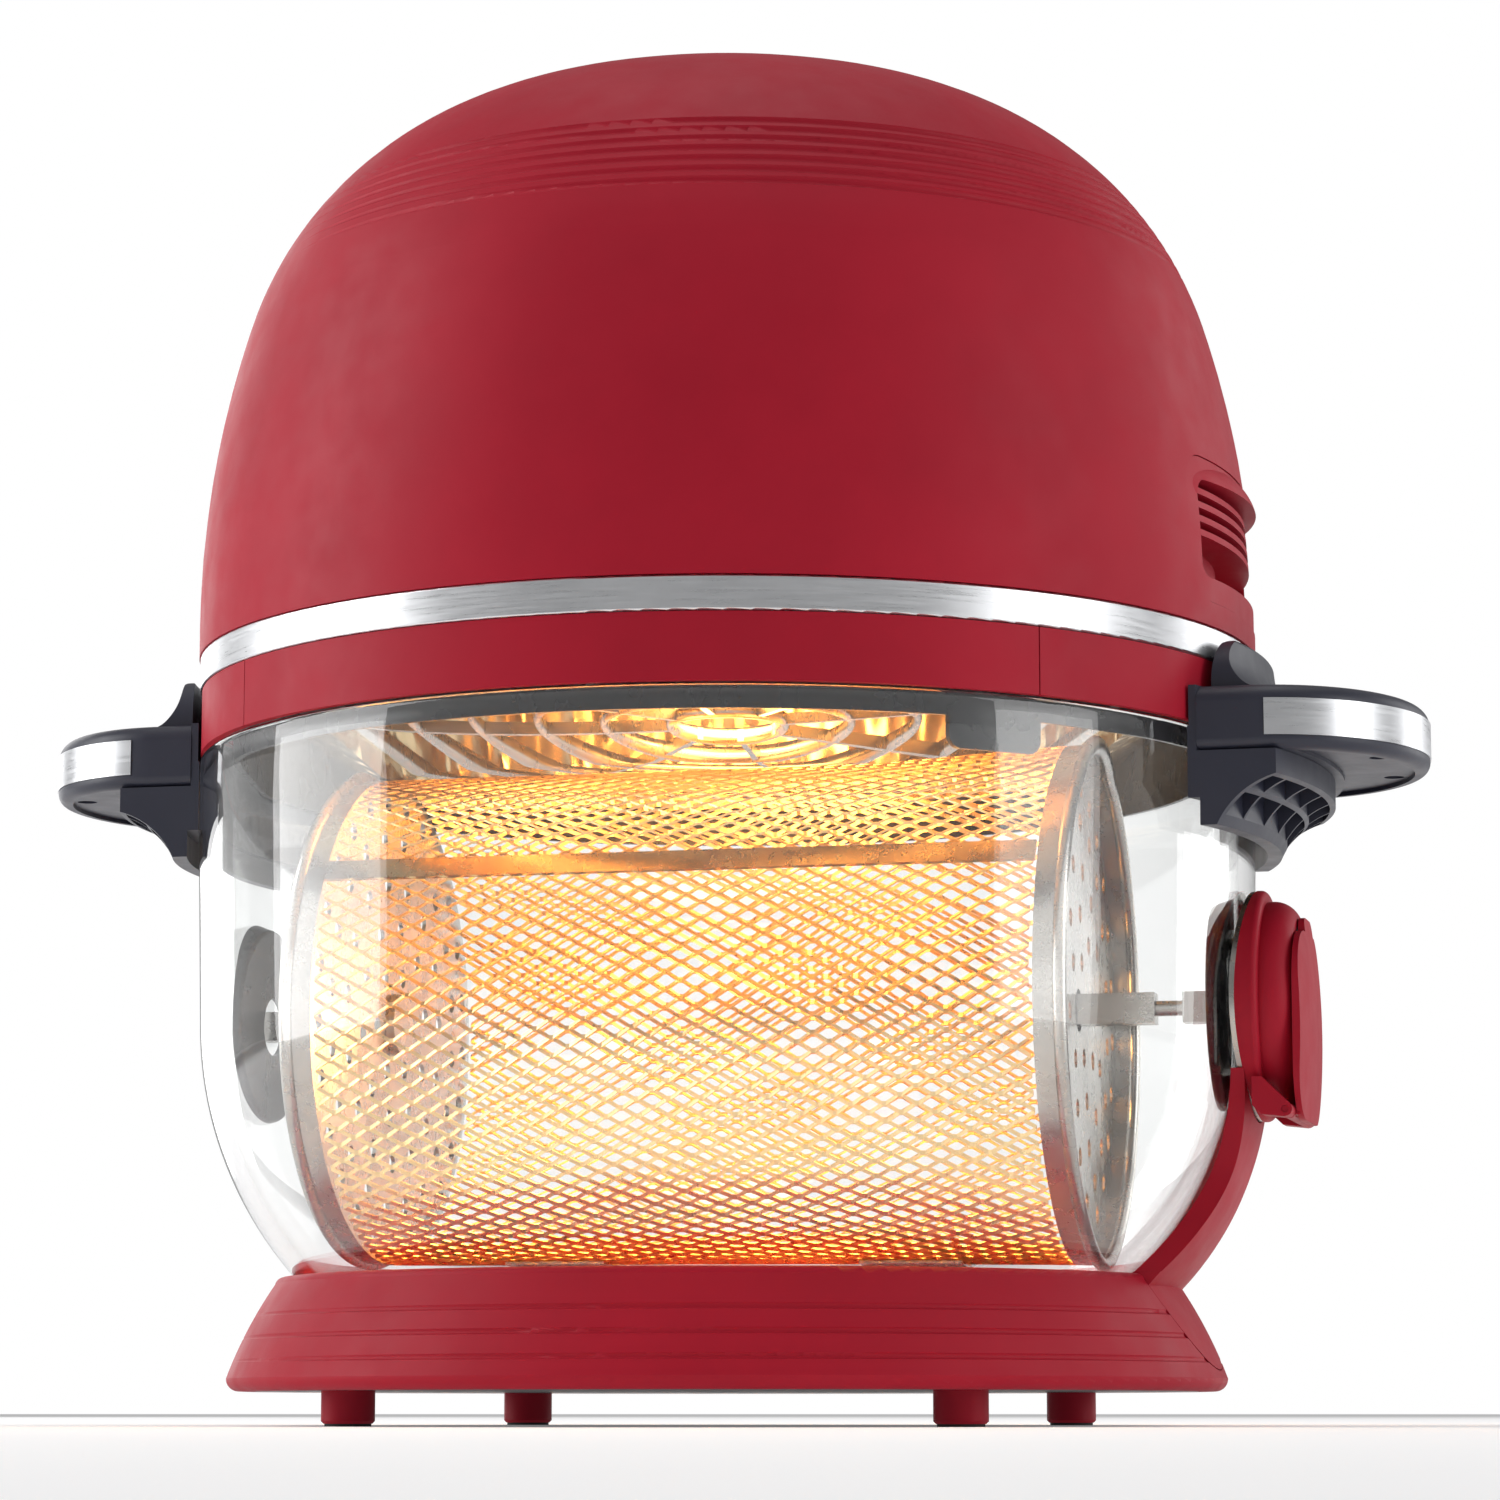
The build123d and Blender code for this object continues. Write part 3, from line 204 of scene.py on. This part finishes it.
def hammered_metal(name, colour, rough, dimple_mm, dimple_depth=0.9):
    """Bright sheet pressed with a honeycomb of shallow dimples, stained by heat."""
    made = Recipe(name, Metallic=1.0)
    stains = made.noise(22.0, detail=5.0, rough=0.6)
    made.colours(stains, (0.3, shade(colour, 0.8)), (0.65, colour))
    made.roughness(made.spread(stains, rough * 0.8, rough * 1.3))
    cells = made.node("TexVoronoi", feature="SMOOTH_F1")
    cells.inputs["Scale"].default_value = 1000.0 / dimple_mm
    made.link(made.coords, cells.inputs["Vector"])
    made.bump(cells.outputs["Distance"], dimple_depth)
    return made.material


crimson = (0.40, 0.009, 0.026)
navy = (0.026, 0.028, 0.046)
silver = (0.76, 0.77, 0.79)
nickel = (0.7, 0.69, 0.67)
steel = (0.52, 0.50, 0.47)
# painted warm glow: the drum mesh is plain stainless steel, and this gold stands in for the heater lamp's light on
# it
painted_glow_gold = (0.93, 0.68, 0.34)
amber_tone = (0.92, 0.72, 0.42)
oxide = (0.09, 0.075, 0.07)
soot = (0.02, 0.02, 0.02)
even = (1, 1, 1)            # the same grain in every direction

materials = {
    "red_plastic": moulded_plastic("red_plastic", crimson, rough=0.5, Specular_IOR_Level=0.17),
    "navy_plastic": moulded_plastic("navy_plastic", navy, rough=0.42, grain_mm=0.5, Specular_IOR_Level=0.45),
    "silver_trim": worked_metal("silver_trim", silver, rough=0.32, lines=(1, 1, 30), depth=0.0015),
    "bowl_glass": clear_glass("bowl_glass"),
    "puck_plastic": moulded_plastic("puck_plastic", (0.022, 0.023, 0.028), rough=0.3),
    # the drum mesh gets the gold of the painted heater glow, not a colour of its own
    "mesh_steel": worked_metal("mesh_steel", painted_glow_gold, rough=0.3, line_mm=2.0, lines=even),
    "bright_steel": worked_metal("bright_steel", steel, rough=0.27, line_mm=8.0, lines=even, spots=0.12),
    "reflector_metal": hammered_metal("reflector_metal", amber_tone, rough=0.2, dimple_mm=4.5),
    "heater_tube": moulded_plastic("heater_tube", oxide, rough=0.55, grain_mm=0.8, grain_depth=0.06),
    "black_plastic": moulded_plastic("black_plastic", (0.012, 0.012, 0.015), rough=0.28),
    "board_green": moulded_plastic("board_green", (0.02, 0.13, 0.05), rough=0.35, grain_mm=2.0),
    "magnet_nickel": worked_metal("magnet_nickel", nickel, rough=0.15),
    "foot_rubber": moulded_plastic("foot_rubber", soot, rough=0.8, grain_mm=0.8, grain_depth=0.05),
    "cable_grey": moulded_plastic("cable_grey", (0.12, 0.12, 0.125), rough=0.6),
}


def dress(piece, slot):
    """Gives a piece the material of its slot."""
    piece.data.materials.clear()
    piece.data.materials.append(materials[slot])


for name, piece in nodes.items():
    dress(piece, slot_of[name])


# ------------------------------------------------------------------ added pieces

def mesh_piece(name, vertices, faces, slot, body, node):
    """New piece of the object that rides on a body and takes the place of a CAD node."""
    data = bpy.data.meshes.new(name)
    data.from_pydata(vertices, [], faces)
    data.update()
    piece = bpy.data.objects.new(name, data)
    scene.collection.objects.link(piece)
    dress(piece, slot)
    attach(piece, body)
    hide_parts(node)
    return piece


# ------------------------------------------------------------------ glass bowl

glass_low, glass_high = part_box("glass_bowl")
wall = 4.0 * MM
knuckle_r, flank_r = 34.0 * MM, 90.0 * MM      # the two arcs of the outline
belly_inset = 1.1 * MM                         # the wall leans in from the rim by this much
shoulder_rise = 46.0 * MM                      # height of the leaning part


def arc_points(centre, radius, start, turn, count):
    """Points along an arc, angles in degrees."""
    angles = [math.radians(start + turn * index / count) for index in range(count + 1)]
    return [(centre[0] + radius * math.cos(a), centre[1] + radius * math.sin(a)) for a in angles]


def bowl_profile():
    """Section of the glass as (radius, height): up the outside, round the lip, down the inside."""
    rim_r, rim_z, floor_z = glass_high.x, glass_high.z, glass_low.z
    belly_r = rim_r - belly_inset
    step = (flank_r - knuckle_r) * math.cos(math.radians(45))
    knuckle_centre = (belly_r - flank_r + step, floor_z + knuckle_r)
    flank_centre = (belly_r - flank_r, knuckle_centre[1] + step)
    shoulder_z = flank_centre[1] + shoulder_rise
    outside = arc_points(knuckle_centre, knuckle_r, -90, 45, 14)
    outside += arc_points(flank_centre, flank_r, -45, 45, 22)[1:]
    outside.append((rim_r, shoulder_z))
    inside = arc_points(flank_centre, flank_r - wall, 0, -45, 22)
    inside += arc_points(knuckle_centre, knuckle_r - wall, -45, -45, 14)[1:]
    lip = arc_points((rim_r - wall / 2, rim_z - wall / 2), wall / 2, 0, 180, 12)
    return outside + lip + [(rim_r - wall, shoulder_z)] + inside


def smooth_bowl(segments=180):
    """The glass as a fine lathe, so that what is seen through it isn't broken up."""
    profile = bowl_profile()
    rows = len(profile)
    vertices, faces = [], []
    for index in range(segments):
        angle = 2 * math.pi * index / segments
        vertices += [(r * math.cos(angle), r * math.sin(angle), z) for r, z in profile]
    for index in range(segments):
        here, there = index * rows, (index + 1) % segments * rows
        faces += [(here + k, there + k, there + k + 1, here + k + 1) for k in range(rows - 1)]
    bottom, top = len(vertices), len(vertices) + 1
    vertices += [(0, 0, profile[0][1]), (0, 0, profile[-1][1])]
    for index in range(segments):
        here, there = index * rows, (index + 1) % segments * rows
        faces.append((bottom, there, here))
        faces.append((top, here + rows - 1, there + rows - 1))
    bowl = mesh_piece("smooth_bowl", vertices, faces, "bowl_glass", "bowl", "glass_bowl")
    bowl.data.shade_smooth()


smooth_bowl()


# ------------------------------------------------------------------ drum of expanded mesh

drum_low, drum_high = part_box("basket_mesh_body")
axis_z = next(j["pos_m"][2] for j in frame["joints"] if j["name"] == "basket_spin")
drum_r = drum_high.z - axis_z
sheet_r = drum_r - 0.4 * MM                    # middle of the sheet's thickness
seam_angle, hinge_angle = 148.0, 270.0
door_turn = hinge_angle - seam_angle
diamond_long, diamond_short = 7.6 * MM, 4.2 * MM
strand_width, strand_thick = 1.0 * MM, 0.45 * MM
strand_tilt = math.radians(32)
bridge = 0.13                                  # half length of a flat peak, as a share of a half diamond


def drum_point(x, angle, lift):
    """Point at x along the drum, lifted off the middle of the sheet."""
    r = sheet_r + lift
    return (x, r * math.cos(angle), axis_z + r * math.sin(angle))


def expanded_sheet(name, start, turn, body, node):
    """Expanded sheet bent round the drum axis from start over turn, in degrees."""
    start, turn = math.radians(start), math.radians(turn)
    rows = round(turn * drum_r / (diamond_short / 2))
    row_turn = turn / rows
    length = drum_high.x - drum_low.x
    half_periods = 2 * round(length / diamond_long)
    step = length / half_periods
    across = strand_width / 2
    up = strand_thick / 2
    corners = []
    for side_across, side_up in ((-1, -1), (1, -1), (1, 1), (-1, 1)):
        a, b = side_across * across, side_up * up
        corners.append((a * math.cos(strand_tilt) - b * math.sin(strand_tilt),
                        a * math.sin(strand_tilt) + b * math.cos(strand_tilt)))
    reach = row_turn / 2 - 0.12 * strand_width / drum_r
    vertices, faces = [], []
    for row in range(rows):
        middle = start + (row + 0.5) * row_turn
        sign = 1 if row % 2 else -1
        first = len(vertices)
        stations = []
        for index in range(half_periods + 1):
            peak = sign * (1 if index % 2 else -1)
            for shift in (-bridge, bridge):
                x = drum_low.x + (index + shift) * step
                if drum_low.x <= x <= drum_high.x:
                    stations.append((x, middle + peak * reach))
        for x, angle in stations:
            for a, b in corners:
                vertices.append(drum_point(x, angle + a / drum_r, b))
        for index in range(len(stations) - 1):
            base = first + 4 * index
            for side in range(4):
                other = (side + 1) % 4
                faces.append((base + side, base + other, base + 4 + other, base + 4 + side))
        last = first + 4 * (len(stations) - 1)
        faces.append((first + 3, first + 2, first + 1, first))
        faces.append((last, last + 1, last + 2, last + 3))
    mesh_piece(name, vertices, faces, "mesh_steel", body, node)


expanded_sheet("drum_mesh", hinge_angle, 360.0 - door_turn - 0.4, "basket", "basket_mesh_body")
expanded_sheet("door_mesh", seam_angle + 0.4, door_turn - 1.0, "basket", "basket_door")


# ------------------------------------------------------------------ floor and lights

def make_floor():
    """Plain pale paper under the oven, which isn't part of it."""
    bpy.ops.mesh.primitive_plane_add(size=14.0, location=(0, 3.0, 0))
    floor = bpy.context.object
    floor.name = "floor"
    recipe = Recipe("floor_paper", Roughness=0.9, Emission_Color=WHITE, Emission_Strength=0.16)
    recipe.colours(recipe.noise(400.0), (0.3, (0.93, 0.93, 0.94)), (0.7, (0.95, 0.95, 0.955)))
    floor.data.materials.append(recipe.material)


def add_lamp(name, kind, place, power, colour=(1.0, 1.0, 1.0)):
    """Lamp of that kind, with its power in watts."""
    data = bpy.data.lights.new(name, kind)
    data.energy = power
    data.color = colour
    lamp = bpy.data.objects.new(name, data)
    lamp.location = place
    scene.collection.objects.link(lamp)
    return lamp


def soft_box(name, place, target, size, power):
    """Large flat studio lamp that faces its target."""
    lamp = add_lamp(name, "AREA", place, power)
    lamp.data.shape = "RECTANGLE"
    lamp.data.size, lamp.data.size_y = size
    lamp.rotation_euler = (Vector(target) - Vector(place)).to_track_quat("-Z", "Y").to_euler()


def warm_glow(name, place, radius, power, body):
    """Light of the heater, which only shows on what it falls on."""
    lamp = add_lamp(name, "POINT", place, power, (1.0, 0.47, 0.12))
    lamp.data.shadow_soft_size = radius
    lamp.visible_camera = False
    lamp.visible_transmission = False
    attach(lamp, body)


def make_world():
    """White all round for the camera and for what the glass shows, dimmer as a source of light."""
    world = bpy.data.worlds.new("studio")
    scene.world = world
    world.use_nodes = True
    tree = world.node_tree
    path = tree.nodes.new("ShaderNodeLightPath")
    seen = tree.nodes.new("ShaderNodeMath")
    seen.operation = "MAXIMUM"
    tree.links.new(path.outputs["Is Camera Ray"], seen.inputs[0])
    tree.links.new(path.outputs["Is Transmission Ray"], seen.inputs[1])
    level = tree.nodes.new("ShaderNodeMapRange")
    level.inputs["To Min"].default_value = 0.32
    level.inputs["To Max"].default_value = 1.0
    tree.links.new(seen.outputs["Value"], level.inputs["Value"])
    tree.nodes["Background"].inputs["Color"].default_value = WHITE
    tree.links.new(level.outputs["Result"], tree.nodes["Background"].inputs["Strength"])


def make_lights():
    """Bright sides, a dimmer top, and the heater's glow on the reflector and the drum."""
    centre = (0, 0, 0.17)
    soft_box("key_left", (-2.1, -0.4, 0.8), centre, (1.4, 2.2), 38.0)
    soft_box("fill_right", (1.9, -0.2, 0.6), centre, (0.9, 1.6), 12.0)
    soft_box("rim_left", (-1.5, 1.6, 0.6), centre, (0.9, 1.6), 9.0)
    soft_box("rim_right", (1.5, 1.6, 0.6), centre, (0.9, 1.6), 9.0)
    soft_box("top", (0.0, 0.0, 1.9), centre, (1.4, 1.4), 8.0)
    heater_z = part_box("heater_coil")[0].z
    warm_glow("heater_glow", (0.0, 0.0, heater_z), 30 * MM, 0.9, "head")
    for place in (-0.5, 0.5):
        warm_glow("drum_glow", (place * drum_high.x, 0.0, axis_z), 22 * MM, 0.3, "basket")


make_floor()
make_world()
make_lights()
scene.view_settings.view_transform = "Standard"
